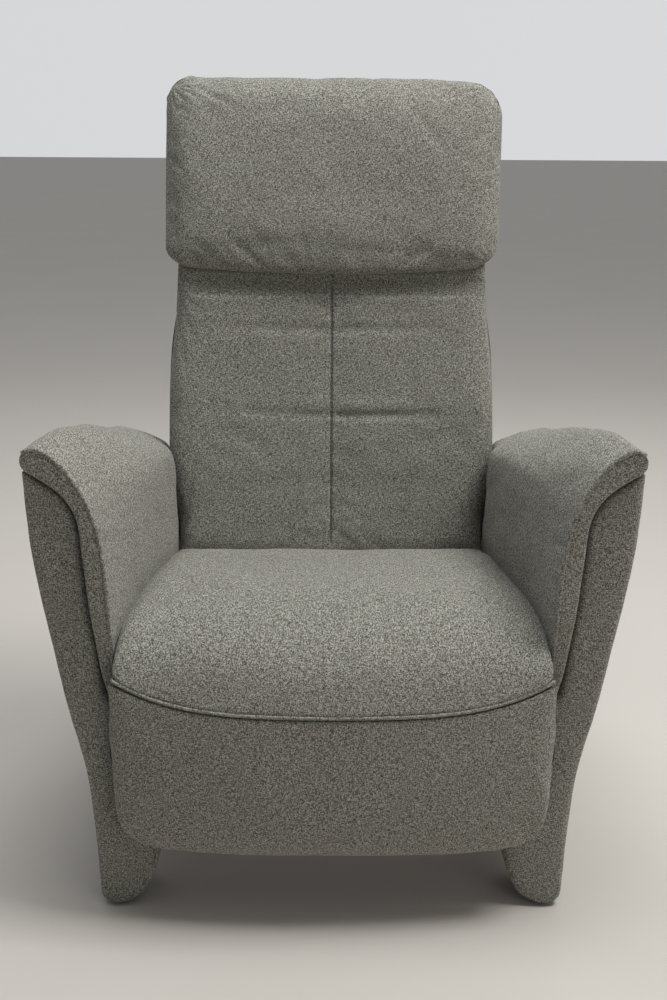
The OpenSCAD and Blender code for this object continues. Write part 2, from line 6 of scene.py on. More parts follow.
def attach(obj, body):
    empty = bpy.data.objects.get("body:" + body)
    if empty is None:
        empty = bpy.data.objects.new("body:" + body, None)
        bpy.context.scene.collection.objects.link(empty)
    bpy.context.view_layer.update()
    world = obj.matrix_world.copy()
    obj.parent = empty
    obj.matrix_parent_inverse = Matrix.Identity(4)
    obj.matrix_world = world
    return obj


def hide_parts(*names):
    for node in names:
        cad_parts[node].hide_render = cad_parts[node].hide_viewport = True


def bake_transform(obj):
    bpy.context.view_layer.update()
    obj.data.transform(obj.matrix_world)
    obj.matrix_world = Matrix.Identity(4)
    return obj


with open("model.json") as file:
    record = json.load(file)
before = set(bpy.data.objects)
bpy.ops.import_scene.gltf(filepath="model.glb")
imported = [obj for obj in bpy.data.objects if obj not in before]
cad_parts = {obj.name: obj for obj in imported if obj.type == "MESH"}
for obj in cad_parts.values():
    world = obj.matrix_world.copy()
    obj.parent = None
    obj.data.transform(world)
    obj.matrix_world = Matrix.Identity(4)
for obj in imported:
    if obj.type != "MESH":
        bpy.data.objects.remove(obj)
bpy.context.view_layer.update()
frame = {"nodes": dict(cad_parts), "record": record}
Y0 = 33.4                      # the CAD's depth offset, mm
F0 = (105.0, 392.0)
BA = math.radians(15)
CB, SB = math.cos(BA), math.sin(BA)
H = (-375.0, 335.0)


# ------------------------------------------------------------ small helpers
def lk(x, xs, ys):
    return np.interp(x, xs, ys)


def spline(xs, ys):
    """Smooth (monotone cubic) interpolation through given points."""
    xs = np.asarray(xs, float); ys = np.asarray(ys, float)
    d = np.diff(ys) / np.diff(xs)
    m = np.zeros_like(ys)
    m[0], m[-1] = d[0], d[-1]
    for i in range(1, len(xs) - 1):
        m[i] = 0 if d[i - 1] * d[i] <= 0 else 2 * d[i - 1] * d[i] / (d[i - 1] + d[i])

    def f(x):
        x = np.clip(x, xs[0], xs[-1])
        i = np.clip(np.searchsorted(xs, x, side="right") - 1, 0, len(xs) - 2)
        h = xs[i + 1] - xs[i]; t = (x - xs[i]) / h
        return ((2*t**3 - 3*t**2 + 1) * ys[i] + (t**3 - 2*t**2 + t) * h * m[i]
                + (-2*t**3 + 3*t**2) * ys[i + 1] + (t**3 - t**2) * h * m[i + 1])
    return f


def curve_pts(pts, n, closed=False, tension=0.5):
    """Catmull-Rom through pts, resampled to n points evenly by length."""
    p = np.asarray(pts, float)
    if closed:
        q = np.vstack([p[-1], p, p[0], p[1]])
    else:
        q = np.vstack([2*p[0] - p[1], p, 2*p[-1] - p[-2]])
    out = []
    for i in range(1, len(q) - 2):
        a, b, c, d = q[i-1], q[i], q[i+1], q[i+2]
        l1 = np.linalg.norm(b - a)**.5 + 1e-9; l2 = np.linalg.norm(c - b)**.5 + 1e-9; l3 = np.linalg.norm(d - c)**.5 + 1e-9
        m1 = (c - b) + l2 * ((b - a)/l1 - (c - a)/(l1 + l2)) if True else 0
        m2 = (c - b) + l2 * ((d - c)/l3 - (d - b)/(l2 + l3))
        t = np.linspace(0, 1, 24, endpoint=False)[:, None]
        out.append((2*t**3 - 3*t**2 + 1)*b + (t**3 - 2*t**2 + t)*m1 + (-2*t**3 + 3*t**2)*c + (t**3 - t**2)*m2)
    out = np.vstack(out + [q[-2][None] if not closed else p[:1]])
    s = np.r_[0, np.cumsum(np.linalg.norm(np.diff(out, axis=0), axis=1))]
    t = np.linspace(0, s[-1], n, endpoint=not closed)
    return np.stack([np.interp(t, s, out[:, k]) for k in range(out.shape[1])], 1)


_rng = np.random.RandomState(7)
_W = [(_rng.normal(size=3), _rng.uniform(0, 6.28)) for _ in range(48)]


def wob(P, size, seed=0, n=9):
    """Smooth noise about -1..1, features about `size` mm."""
    v = np.zeros(len(P))
    for k in range(n):
        d, ph = _W[(seed * 7 + k) % len(_W)]
        d = d / np.linalg.norm(d)
        v += np.sin(P @ d * (2 * math.pi / (size * (0.7 + 0.12 * k))) + ph + seed * 1.7)
    return v / (n ** 0.5) / 1.2


def mesh(name, V, F, mat=None, smooth=True):
    """V in mm of the design frame; makes an object in metres in the row's frame."""
    V = np.asarray(V, float).copy()
    V[:, 1] += Y0
    me = bpy.data.meshes.new(name)
    me.from_pydata((V / 1000).tolist(), [], [list(map(int, f)) for f in F])
    me.update()
    bm = bmesh.new(); bm.from_mesh(me)
    bmesh.ops.remove_doubles(bm, verts=bm.verts, dist=0.00012)
    bmesh.ops.dissolve_degenerate(bm, edges=bm.edges, dist=0.00002)
    bmesh.ops.recalc_face_normals(bm, faces=bm.faces)
    bm.to_mesh(me); bm.free()
    ob = bpy.data.objects.new(name, me)
    bpy.context.scene.collection.objects.link(ob)
    if smooth:
        me.polygons.foreach_set("use_smooth", [True] * len(me.polygons))
    if mat:
        me.materials.append(mat)
    return ob


def ring_faces(m, n, close_n=True):
    """Quads for m rings of n points."""
    F = []
    for j in range(m - 1):
        for i in range(n if close_n else n - 1):
            a = j*n + i; b = j*n + (i+1) % n
            F.append((a, b, b + n, a + n))
    return F


def tube(name, path, r, mat, k=10, closed=False, twist=0.0):
    P = np.asarray(path, float); m = len(P)
    T = np.gradient(P, axis=0) if not closed else np.roll(P, -1, 0) - np.roll(P, 1, 0)
    T /= np.linalg.norm(T, axis=1)[:, None]
    up = np.array([0, 0, 1.0]); u = np.cross(T[0], up)
    if np.linalg.norm(u) < .1: u = np.cross(T[0], [1, 0, 0])
    u /= np.linalg.norm(u); V = []
    for j in range(m):
        u = u - T[j] * (u @ T[j]); u /= np.linalg.norm(u); w = np.cross(T[j], u)
        rj = r if np.isscalar(r) else r[j]
        for i in range(k):
            a = 2*math.pi*i/k + twist*j
            V.append(P[j] + rj*(math.cos(a)*u + math.sin(a)*w))
    F = ring_faces(m, k)
    if closed:
        F += [((m-1)*k + i, (m-1)*k + (i+1) % k, (i+1) % k, i) for i in range(k)]
    else:
        F += [tuple(range(k))[::-1], tuple((m-1)*k + i for i in range(k))]
    return mesh(name, V, F, mat)


def coords(ob):
    me = ob.data; a = np.empty(len(me.vertices)*3); me.vertices.foreach_get("co", a)
    a = a.reshape(-1, 3) * 1000; a[:, 1] -= Y0
    return a


def set_coords(ob, P):
    P = P.copy(); P[:, 1] += Y0
    ob.data.vertices.foreach_set("co", (P / 1000).ravel()); ob.data.update()


def normals(ob):
    me = ob.data; a = np.empty(len(me.vertices)*3); me.vertices.foreach_get("normal", a)
    return a.reshape(-1, 3)


def push(ob, d):
    """Moves each vertex d mm along its normal."""
    set_coords(ob, coords(ob) + normals(ob) * np.asarray(d)[:, None])


def subdiv(ob, n=1):
    m = ob.modifiers.new("sub", "SUBSURF"); m.levels = n; m.render_levels = n
    apply(ob, m)


def apply(ob, m):
    dg = bpy.context.evaluated_depsgraph_get()
    me = bpy.data.meshes.new_from_object(ob.evaluated_get(dg))
    ob.modifiers.remove(m); old = ob.data; ob.data = me; me.name = ob.name
    bpy.data.meshes.remove(old)


def cloth(ob, pin, pressure=3.0, shrink=-0.02, cap=12.0, frames=20, stiff=12.0, bend=0.6):
    """Blows a closed padded form up as cloth, its seams pinned, and applies the result."""
    base = coords(ob)
    g = ob.vertex_groups.new(name="pin")
    for w in np.unique(np.round(pin, 2)):
        if w > 0:
            g.add([int(i) for i in np.nonzero(np.round(pin, 2) == w)[0]], float(w), "REPLACE")
    m = ob.modifiers.new("cl", "CLOTH"); s = m.settings
    s.use_pressure = True; s.uniform_pressure_force = pressure
    s.effector_weights.gravity = 0
    s.mass = 0.3; s.quality = 5; s.air_damping = 4
    s.tension_stiffness = stiff; s.compression_stiffness = stiff; s.shear_stiffness = stiff * 0.6
    s.bending_stiffness = bend
    s.shrink_min = shrink
    s.vertex_group_mass = "pin"; s.pin_stiffness = 1.0
    m.collision_settings.use_collision = False
    sc = bpy.context.scene
    sc.frame_start = 1; sc.frame_end = frames
    m.point_cache.frame_start = 1; m.point_cache.frame_end = frames
    for f in range(1, frames + 1):
        sc.frame_set(f)
    apply(ob, m)
    now = coords(ob); d = now - base; L = np.linalg.norm(d, axis=1) + 1e-9
    k = cap * np.tanh(L / cap) / L
    set_coords(ob, base + d * k[:, None])
    sc.frame_set(1)


# ------------------------------------------------------------ materials
def nodes_of(name):
    m = bpy.data.materials.new(name); m.use_nodes = True
    nt = m.node_tree; nt.nodes.clear()
    o = nt.nodes.new("ShaderNodeOutputMaterial"); b = nt.nodes.new("ShaderNodeBsdfPrincipled")
    nt.links.new(b.outputs[0], o.inputs[0])
    return m, nt, b


class G:
    """Tiny node-graph writer."""
    def __init__(s, nt): s.nt = nt
    def n(s, t, **kw):
        x = s.nt.nodes.new(t)
        for k, v in kw.items():
            if k in x.inputs.keys() and not hasattr(x, k): s.set(x.inputs[k], v)
            else: setattr(x, k, v)
        return x
    def set(s, sock, v):
        if isinstance(v, bpy.types.NodeSocket): s.nt.links.new(v, sock)
        else: sock.default_value = v
    def math(s, op, a, b=0.0, c=None):
        x = s.nt.nodes.new("ShaderNodeMath"); x.operation = op
        s.set(x.inputs[0], a); s.set(x.inputs[1], b)
        if c is not None: s.set(x.inputs[2], c)
        return x.outputs[0]
    def mix(s, f, a, b):
        x = s.nt.nodes.new("ShaderNodeMix"); x.data_type = "RGBA"
        s.set(x.inputs[0], f); s.set(x.inputs[6], a); s.set(x.inputs[7], b)
        return x.outputs[2]
    def ramp(s, v, stops):
        x = s.nt.nodes.new("ShaderNodeValToRGB"); s.set(x.inputs[0], v)
        e = x.color_ramp.elements
        while len(e) < len(stops): e.new(0.5)
        for q, (p, c) in zip(e, stops):
            q.position = p; q.color = (*c, 1) if len(c) == 3 else (c[0],)*3 + (1,)
        return x.outputs[0]
    def noise(s, vec, scale, detail=2.0, rough=0.5):
        x = s.nt.nodes.new("ShaderNodeTexNoise"); s.set(x.inputs["Vector"], vec)
        x.inputs["Scale"].default_value = scale; x.inputs["Detail"].default_value = detail
        x.inputs["Roughness"].default_value = rough
        return x.outputs[0]
    def comb(s, a, b, c=0.0):
        x = s.nt.nodes.new("ShaderNodeCombineXYZ"); s.set(x.inputs[0], a); s.set(x.inputs[1], b); s.set(x.inputs[2], c)
        return x.outputs[0]


def weave(name, dark, mid, light, pitch=0.0016, bump=0.5, tint=(1, 1, 1)):
    """Melange weave from object coordinates, laid on the three planes by the normal."""
    m, nt, b = nodes_of(name); g = G(nt)
    tc = nt.nodes.new("ShaderNodeTexCoord"); geo = nt.nodes.new("ShaderNodeNewGeometry")
    sp = nt.nodes.new("ShaderNodeSeparateXYZ"); nt.links.new(tc.outputs["Object"], sp.inputs[0])
    tr = nt.nodes.new("ShaderNodeSeparateXYZ"); nt.links.new(tc.outputs["Normal"], tr.inputs[0])
    X, Y, Z = sp.outputs
    ax = [g.math("POWER", g.math("ABSOLUTE", o), 3.0) for o in tr.outputs]
    tot = g.math("ADD", g.math("ADD", ax[0], ax[1]), ax[2])
    w = [g.math("DIVIDE", a, tot) for a in ax]

    def plane(u, v, off):
        uu = g.math("MULTIPLY", u, 1 / pitch); vv = g.math("MULTIPLY", v, 1 / pitch)
        # slightly wavy threads
        wob = g.noise(g.comb(u, v, off), 45.0, 1.0)
        uu = g.math("ADD", uu, g.math("MULTIPLY", wob, 1.3)); vv = g.math("ADD", vv, g.math("MULTIPLY", wob, 0.9))
        su = g.math("SINE", g.math("MULTIPLY", uu, math.pi * 2)); sv = g.math("SINE", g.math("MULTIPLY", vv, math.pi * 2))
        over = g.math("MULTIPLY", su, sv)                        # which thread lies on top
        hgt = g.math("ADD", g.math("MULTIPLY", g.math("ABSOLUTE", su), 0.5), g.math("MULTIPLY", g.math("ABSOLUTE", sv), 0.5))
        # yarn colour: streaks along weft and warp
        weft = g.noise(g.comb(g.math("MULTIPLY", u, 210), g.math("MULTIPLY", v, 820), off), 1.0, 2.0, 0.6)
        warp = g.noise(g.comb(g.math("MULTIPLY", u, 820), g.math("MULTIPLY", v, 210), off + 5), 1.0, 2.0, 0.6)
        top = g.math("GREATER_THAN", over, 0.0)
        x = nt.nodes.new("ShaderNodeMix"); x.data_type = "FLOAT"
        g.set(x.inputs[0], top); g.set(x.inputs[2], weft); g.set(x.inputs[3], warp)
        return x.outputs[0], hgt

    pl = [plane(Y, Z, 1.0), plane(X, Z, 2.0), plane(X, Y, 3.0)]
    def blendv(k):
        return g.math("ADD", g.math("ADD", g.math("MULTIPLY", pl[0][k], w[0]), g.math("MULTIPLY", pl[1][k], w[1])), g.math("MULTIPLY", pl[2][k], w[2]))
    yarn, hgt = blendv(0), blendv(1)
    speck = g.noise(g.comb(X, g.math("MULTIPLY", Y, 0.30), Z), 660.0, 2.0, 0.75)
    val = g.math("ADD", g.math("MULTIPLY", yarn, 0.5), g.math("MULTIPLY", speck, 0.5))
    col = g.ramp(val, [(0.435, dark), (0.5, mid), (0.565, light)])
    cloud = g.noise(tc.outputs["Object"], 9.0, 3.0, 0.55)
    col = g.mix(g.math("MULTIPLY", cloud, 0.16), col, (*[c * 0.72 for c in mid], 1))
    # painted shade in the creases: ambient occlusion darkens the base colour
    ao = nt.nodes.new("ShaderNodeAmbientOcclusion"); ao.inputs["Distance"].default_value = 0.05; ao.samples = 4
    painted_crease_shade = g.ramp(ao.outputs["AO"], [(0.0, (0.55,)), (0.7, (1.0,))])
    crease_shade_mix = nt.nodes.new("ShaderNodeMix"); crease_shade_mix.data_type = "RGBA"; crease_shade_mix.blend_type = "MULTIPLY"; crease_shade_mix.inputs[0].default_value = 1.0
    g.set(crease_shade_mix.inputs[6], col); g.set(crease_shade_mix.inputs[7], painted_crease_shade)
    g.set(b.inputs["Base Color"], crease_shade_mix.outputs[2])
    b.inputs["Roughness"].default_value = 0.93
    b.inputs["Specular IOR Level"].default_value = 0.18
    b.inputs["Sheen Weight"].default_value = 0.22; b.inputs["Sheen Roughness"].default_value = 0.5
    b.inputs["Sheen Tint"].default_value = (0.95, 0.93, 0.88, 1)
    bp = nt.nodes.new("ShaderNodeBump"); bp.inputs["Strength"].default_value = bump; bp.inputs["Distance"].default_value = 0.0009
    g.set(bp.inputs["Height"], g.math("ADD", hgt, g.math("MULTIPLY", speck, 0.8)))
    bp2 = nt.nodes.new("ShaderNodeBump"); bp2.inputs["Strength"].default_value = 0.25; bp2.inputs["Distance"].default_value = 0.004
    g.set(bp2.inputs["Height"], g.noise(tc.outputs["Object"], 38.0, 2.0, 0.5))
    nt.links.new(bp2.outputs[0], bp.inputs["Normal"]); nt.links.new(bp.outputs[0], b.inputs["Normal"])
    return m


def solid(name, col, rough, metal=0.0, bump=0.2, scale=600.0, var=0.15, coat=0.0, edge=None):
    m, nt, b = nodes_of(name); g = G(nt)
    tc = nt.nodes.new("ShaderNodeTexCoord")
    nz = g.noise(tc.outputs["Object"], scale, 4.0, 0.6); big = g.noise(tc.outputs["Object"], 24.0, 3.0, 0.6)
    c = g.mix(g.math("MULTIPLY", big, var * 2), (*col, 1), (*[x * (1 - var) + 0.02 for x in col], 1))
    if edge:
        pt = nt.nodes.new("ShaderNodeNewGeometry")
        e = g.ramp(g.math("ADD", pt.outputs["Pointiness"], g.math("MULTIPLY", nz, 0.05)), [(0.55, (0,)), (0.62, (1,))])
        c = g.mix(g.math("MULTIPLY", e, 0.7), c, (*edge, 1))
    g.set(b.inputs["Base Color"], c)
    b.inputs["Metallic"].default_value = metal
    g.set(b.inputs["Roughness"], g.math("ADD", rough - 0.06, g.math("MULTIPLY", big, 0.14)))
    b.inputs["Coat Weight"].default_value = coat
    bp = nt.nodes.new("ShaderNodeBump"); bp.inputs["Strength"].default_value = bump; bp.inputs["Distance"].default_value = 0.0006
    g.set(bp.inputs["Height"], nz); nt.links.new(bp.outputs[0], b.inputs["Normal"])
    return m


def timber(name, a, c2, along=0, ply=False):
    m, nt, b = nodes_of(name); g = G(nt)
    tc = nt.nodes.new("ShaderNodeTexCoord"); sp = nt.nodes.new("ShaderNodeSeparateXYZ")
    nt.links.new(tc.outputs["Object"], sp.inputs[0]); s = [70.0, 70.0, 70.0]; s[along] = 5.0
    v = g.comb(*[g.math("MULTIPLY", sp.outputs[i], s[i]) for i in range(3)])
    n1 = g.noise(v, 1.0, 5.0, 0.65); n2 = g.noise(v, 9.0, 2.0, 0.5)
    val = g.math("ADD", g.math("MULTIPLY", n1, 0.75), g.math("MULTIPLY", n2, 0.25))
    col = g.ramp(val, [(0.3, c2), (0.62, a)])
    if ply:
        layers = g.math("GREATER_THAN", g.math("SINE", g.math("MULTIPLY", sp.outputs[0], 2200.0)), 0.2)
        col = g.mix(g.math("MULTIPLY", layers, 0.25), col, (*[x * 0.55 for x in a], 1))
    g.set(b.inputs["Base Color"], col); b.inputs["Roughness"].default_value = 0.6
    bp = nt.nodes.new("ShaderNodeBump"); bp.inputs["Strength"].default_value = 0.3; bp.inputs["Distance"].default_value = 0.0008
    g.set(bp.inputs["Height"], val); nt.links.new(bp.outputs[0], b.inputs["Normal"])
    return m


FAB = weave("fabric_melange", (0.050, 0.046, 0.037), (0.205, 0.200, 0.172), (0.53, 0.525, 0.47))
PIPE = weave("fabric_piping", (0.060, 0.056, 0.046), (0.225, 0.220, 0.190), (0.53, 0.525, 0.47), pitch=0.0014, bump=0.6)
THREAD = solid("thread", (0.20, 0.195, 0.175), 0.8, bump=0.5, scale=2500)
BLACK = solid("powder_coat", (0.018, 0.018, 0.02), 0.42, bump=0.35, scale=1400, edge=(0.16, 0.16, 0.17))
ZINC = solid("zinc_plate", (0.56, 0.57, 0.60), 0.30, metal=1.0, bump=0.12, scale=900, var=0.22)
ROD = solid("polished_rod", (0.70, 0.71, 0.72), 0.14, metal=1.0, bump=0.03, scale=1500, var=0.06)
PLAST = solid("black_plastic", (0.022, 0.022, 0.023), 0.48, bump=0.5, scale=1900, edge=(0.10, 0.10, 0.10))
PLY = timber("birch_ply", (0.62, 0.46, 0.29), (0.44, 0.30, 0.17), along=2, ply=True)
BEECHX = timber("beech_x", (0.58, 0.36, 0.20), (0.40, 0.23, 0.12), along=0)
BEECHY = timber("beech_y", (0.58, 0.36, 0.20), (0.40, 0.23, 0.12), along=1)
FELT = weave("needled_felt", (0.012, 0.012, 0.012), (0.03, 0.03, 0.03), (0.07, 0.07, 0.07), pitch=0.0035, bump=0.8)
WEB = weave("elastic_webbing", (0.02, 0.018, 0.016), (0.05, 0.046, 0.04), (0.16, 0.15, 0.13), pitch=0.003, bump=0.9)

for n, o in frame["nodes"].items():
    s = next((r["material_slot"] for r in frame["record"]["subparts"] if r["node"] == n), "")
    mat = {"plywood": PLY, "beech": BEECHX, "black_steel": BLACK, "zinc_steel": ZINC, "black_plastic": PLAST, "felt": FELT, "webbing": WEB}.get(s, FAB)
    if n in ("left_seat_rail", "right_seat_rail"): mat = BEECHY
    if n == "gas_spring_rod": mat = ROD
    o.data.materials.clear(); o.data.materials.append(mat)

# ------------------------------------------------------------ shared shape functions (design frame, mm)
crest = spline([-390, -280, -150, 0, 130, 220, 280, 320, 345], [655, 655, 637, 607, 579, 563, 538, 503, 468])
TAPER = 0.0437
def zs(z, y):
    kz = (crest(y) - 33 - 316) / (655 - 33 - 316)
    return np.where(z <= 316, z, 316 + (z - 316) * kz)
def xs(x, y): return x - (y + 360) * TAPER
def slant(z): return -17 * np.clip(z / 600, 0, 1) ** 1.5
def sstep(t): t = np.clip(t, 0, 1); return t*t*(3 - 2*t)

wing_o = [[311,5],[319,12],[322,40],[324,80],[328,130],[335,190],[345,240],[353,272],[359,300],[364,327],[370,360],[376,392],[388,457],[397,518],[401,560],[403,590],[403,612],[402,622]]
wing_i = [[281,5],[263,15],[247,43],[240,75],[239,120],[243,180],[247,235],[250,264],[275,285],[301,311],[309,341],[315,389],[321,440],[328,510],[335,562],[352,590],[378,610],[399,622]]
pad_o = [[299.4,313.6],[307.4,342],[313.4,389.5],[319.2,440.5],[326.2,510.5],[333,563.4],[350.4,592.2],[376,612.4],[396,624.6],[401.5,632],[402,640]]
pad_f = [[2,316],[0.5,345],[1,385],[3,440],[8,505],[17,555],[33,596],[56,630],[78,650],[96,656],[107.5,651]]
pad_r = [[0,316],[0,345],[0,385],[0,430],[0,480],[1,515],[6,535],[28,548],[61,558],[95,563],[108.5,555]]
NW, NP = 110, 84
WO, WI = curve_pts(wing_o, NW), curve_pts(wing_i, NW)
PO, PF, PR = curve_pts(pad_o, NP), curve_pts(pad_f, NP), curve_pts(pad_r, NP)
xin = spline([-390, -360, 100, 118, 150, 230], [292, 289, 246, 248, 261, 261])
arch_y = np.array([-262, -252, -247, -240, -228, -205, -160, 0, 150, 190, 214, 228, 236, 241, 252])
arch_z = np.array([5, 7, 30, 56, 75, 89, 96, 96, 96, 89, 73, 52, 28, 7, 5.0])
arch = spline(arch_y, arch_z)


def wing_at(a, i, y):
    """a = -1 outer .. 1 inner at outline index i and depth y (arrays)."""
    c = (WO[i] + WI[i]) / 2; h = (WI[i] - WO[i]) / 2
    p = c + h * a[:, None]
    x, z = xs(p[:, 0], y), zs(p[:, 1], y)
    b = arch(y)
    low = z < 175
    z = np.where(low, b + (z - 5) * (175 - b) / 170, z)
    return x, z


def slab(name, at, n, yf, yr, rc, rr, ys, mat, slantf, bow=0.0):
    """Closed panel from loops: each loop runs round a rounded rectangle in plan."""
    rings = []
    for i in range(n):
        w = at["w"](i)
        r = min(rc, w * 0.92); r2 = min(rr, w * 0.92)
        A, Yv = [], []
        for q in np.linspace(0, 1, 9):                     # across the front, outer to inner
            A.append((-1 + r/w) + q * 2 * (1 - r/w)); Yv.append(yf)
        for ph in np.linspace(0, math.pi/2, 7)[1:]:        # front inner corner
            A.append(1 - r/w + math.sin(ph) * r/w); Yv.append(yf + r*(1 - math.cos(ph)))
        for y in ys: A.append(1.0); Yv.append(y)
        for ph in np.linspace(0, math.pi/2, 7)[:-1]:
            A.append(1 - (1 - math.cos(ph)) * r2/w); Yv.append(yr - r2 * (1 - math.sin(ph)))
        for q in np.linspace(0, 1, 9):
            A.append((1 - r2/w) - q * 2 * (1 - r2/w)); Yv.append(yr)
        for ph in np.linspace(0, math.pi/2, 7)[1:]:
            A.append(-1 + r2/w - math.sin(ph) * r2/w); Yv.append(yr - r2 * (1 - math.cos(ph)))
        for y in ys[::-1]: A.append(-1.0); Yv.append(y)
        for ph in np.linspace(0, math.pi/2, 7)[:-1]:
            A.append(-1 + (1 - math.cos(ph)) * r/w); Yv.append(yf + r * (1 - math.sin(ph)))
        A, Yv = np.array(A), np.array(Yv)
        x, z = at["p"](A, i, Yv)
        front = 1 - sstep((Yv - (yf + 20)) / 60)
        y = Yv + slantf(z) * front - bow * front * np.clip(1 - A**2, 0, 1)
        rings.append(np.stack([x, y, z], 1))
        if i == 0:
            x, z = at["p"](A*0, i, Yv); lo = np.stack([x, y, z], 1)
        if i == n - 1:
            x, z = at["p"](A*0, i, Yv); hi = np.stack([x, y, z], 1)
    rings = [lo] + rings + [hi]
    V = np.vstack(rings); m = len(rings[0])
    return mesh(name, V, ring_faces(len(rings), m), mat), m


def mirrored(ob, name):
    me = ob.data.copy(); me.name = name
    o = bpy.data.objects.new(name, me); bpy.context.scene.collection.objects.link(o)
    a = np.empty(len(me.vertices)*3); me.vertices.foreach_get("co", a); a = a.reshape(-1, 3); a[:, 0] *= -1
    me.vertices.foreach_set("co", a.ravel()); me.flip_normals(); me.update()
    return o


# ------------------------------------------------------------ side panels
ys_w = np.r_[np.linspace(-335, -266, 12), np.linspace(-262, -226, 22), np.linspace(-220, 205, 48), np.linspace(208, 250, 22), np.linspace(256, 318, 12)]
wing = {"w": lambda i: max(1.2, np.linalg.norm(WO[i] - WI[i]) / 2), "p": wing_at}
sideL, _ = slab("side_panel_left", wing, NW, -355, 343, 11, 20, ys_w, FAB, slant, bow=1.5)
P = coords(sideL)
d = 0.9 * wob(P, 190, 1) + 0.35 * wob(P, 60, 2)
fr = np.clip(1 - np.abs(P[:, 1] + 330) / 40, 0, 1)
push(sideL, d * (1 - 0.5 * fr))
sideR = mirrored(sideL, "side_panel_right")
for o, s in ((sideL, "left"), (sideR, "right")):
    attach(o, "base"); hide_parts(s + "_side_panel")

# ------------------------------------------------------------ arm pads
def pad_pt(i, y):
    t = np.clip((y + 360) / 580, 0, 1)[:, None]
    cf = (crest(y) - 315)[:, None]
    f = np.stack([PF[i][0] + 0*y, 316 + (PF[i][1] - 316) * cf[:, 0] / 341], 1)
    r = np.stack([PR[i][0] + 0*y, 316 + (PR[i][1] - 316) * cf[:, 0] / 248], 1)
    q = f + (r - f) * t
    fill = 10.5 * sstep((y - 108) / 40) * sstep((472 - q[:, 1]) / 50)
    return np.stack([xin(y) + q[:, 0] - fill, q[:, 1]], 1)
def pad_at(a, i, y):
    o = np.stack([xs(PO[i][0], y), zs(PO[i][1], y)], 1); q = pad_pt(i, y)
    c, h = (o + q) / 2, (q - o) / 2
    p = c + h * a[:, None]
    return p[:, 0], p[:, 1]
def pad_slant(z): return 19 * sstep((450 - z) / 120)
def pad_w(i):
    y = np.array([-360.0]); o = np.array([xs(PO[i][0], y)[0], zs(PO[i][1], y)[0]])
    return max(1.0, np.linalg.norm(pad_pt(i, y)[0] - o) / 2)
ys_p = np.linspace(-372, 205, 96)
padL, _ = slab("arm_pad_left", {"w": pad_w, "p": pad_at}, NP, -384, 219, 5.5, 13, ys_p, FAB, pad_slant, bow=1.0)


def finish_pad(ob, seed, sgn):
    P = coords(ob); N = normals(ob)
    yy = P[:, 1]
    inner = np.clip(-N[:, 0] * 1.0, 0, 1) + np.clip(N[:, 2], 0, 1)
    inner = np.clip(inner, 0, 1)
    # the padding swells a little behind the piped edge and over the crown
    dist = yy + 384
    swell = 4.5 * (1 - np.exp(-np.clip(dist, 0, None) / 22)) * np.exp(-np.clip(dist - 40, 0, None) / 260)
    soft = 1.2 * wob(P, 130, seed) + 0.5 * wob(P, 45, seed + 1)
    arc = np.cumsum(np.r_[0, np.linalg.norm(np.diff(PF, axis=0), axis=1)])
    # short puckers pulled by the piping
    s = np.interp(P[:, 2], PF[:, 1], arc)
    puck = (np.sin(s / 4.2 + 1.3 * np.sin(s / 23 + seed)) * (0.55 + 0.45 * np.sin(s / 37 + seed))) * 1.15 * np.exp(-((dist - 14) / 15) ** 2)
    # tension folds where the pad rolls over between face and crown
    fold = 0
    for (z0, y0, L, wd, am) in ((560, -352, 34, 7, -1.9), (520, -340, 46, 8, -1.3), (604, -330, 40, 9, -1.5), (470, -30, 70, 12, -1.1), (500, 60, 60, 12, -1.5)):
        fold = fold + am * np.exp(-((P[:, 2] - z0 + 0.35 * (yy - y0)) / wd) ** 2 - ((yy - y0) / L) ** 2)
    edge_in = np.clip((P[:, 2] - 322) / 22, 0, 1)
    push(ob, inner * edge_in * (swell * 0.8 + soft + puck + fold) - 0.2)


P0 = coords(padL).copy()
padR = mirrored(padL, "arm_pad_right")
finish_pad(padL, 3, 1)
# the right-hand one gets its own folds: work in mirrored coordinates
Q = coords(padR); Q[:, 0] *= -1; set_coords(padR, Q); padR.data.flip_normals(); padR.data.update()
finish_pad(padR, 5, 1)
Q = coords(padR); Q[:, 0] *= -1; set_coords(padR, Q); padR.data.flip_normals(); padR.data.update()
for o, s in ((padL, "left"), (padR, "right")):
    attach(o, "base"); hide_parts(s + "_arm_pad")

# piping round the front edge of each pad, and a seam welt along the outer lip
path = []
for i in range(2, NP):
    y = np.array([-381.0]); q = pad_pt(i, y)[0]; o = np.array([xs(PO[i][0], y)[0], zs(PO[i][1], y)[0]])
    n = (q - o); n = n / (np.linalg.norm(n) + 1e-9)
    p = q - n * 1.0
    path.append([p[0], -382.5 + pad_slant(q[1]), p[1]])
path = curve_pts(path, 150)
for sgn, nm in ((1, "left"), (-1, "right")):
    p = path.copy(); p[:, 0] *= sgn
    o = tube("arm_piping_" + nm, p, 3.1 + 0.12 * np.sin(np.arange(150) * 1.9), PIPE)
    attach(o, "base")
lip = []
for y in np.linspace(-380, 212, 120):
    yy = np.array([y]); o = np.array([xs(PO[-1][0], yy)[0], zs(PO[-1][1], yy)[0]]); q = pad_pt(NP - 1, yy)[0]
    lip.append([(o[0] + q[0]) / 2 - 0.9, y, (o[1] + q[1]) / 2 - 5])
for sgn, nm in ((1, "left"), (-1, "right")):
    p = np.array(lip); p[:, 0] = sgn * (p[:, 0] + 0.4)
    o = tube("arm_lip_welt_" + nm, p, 2.0, PIPE, k=8)
    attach(o, "base")


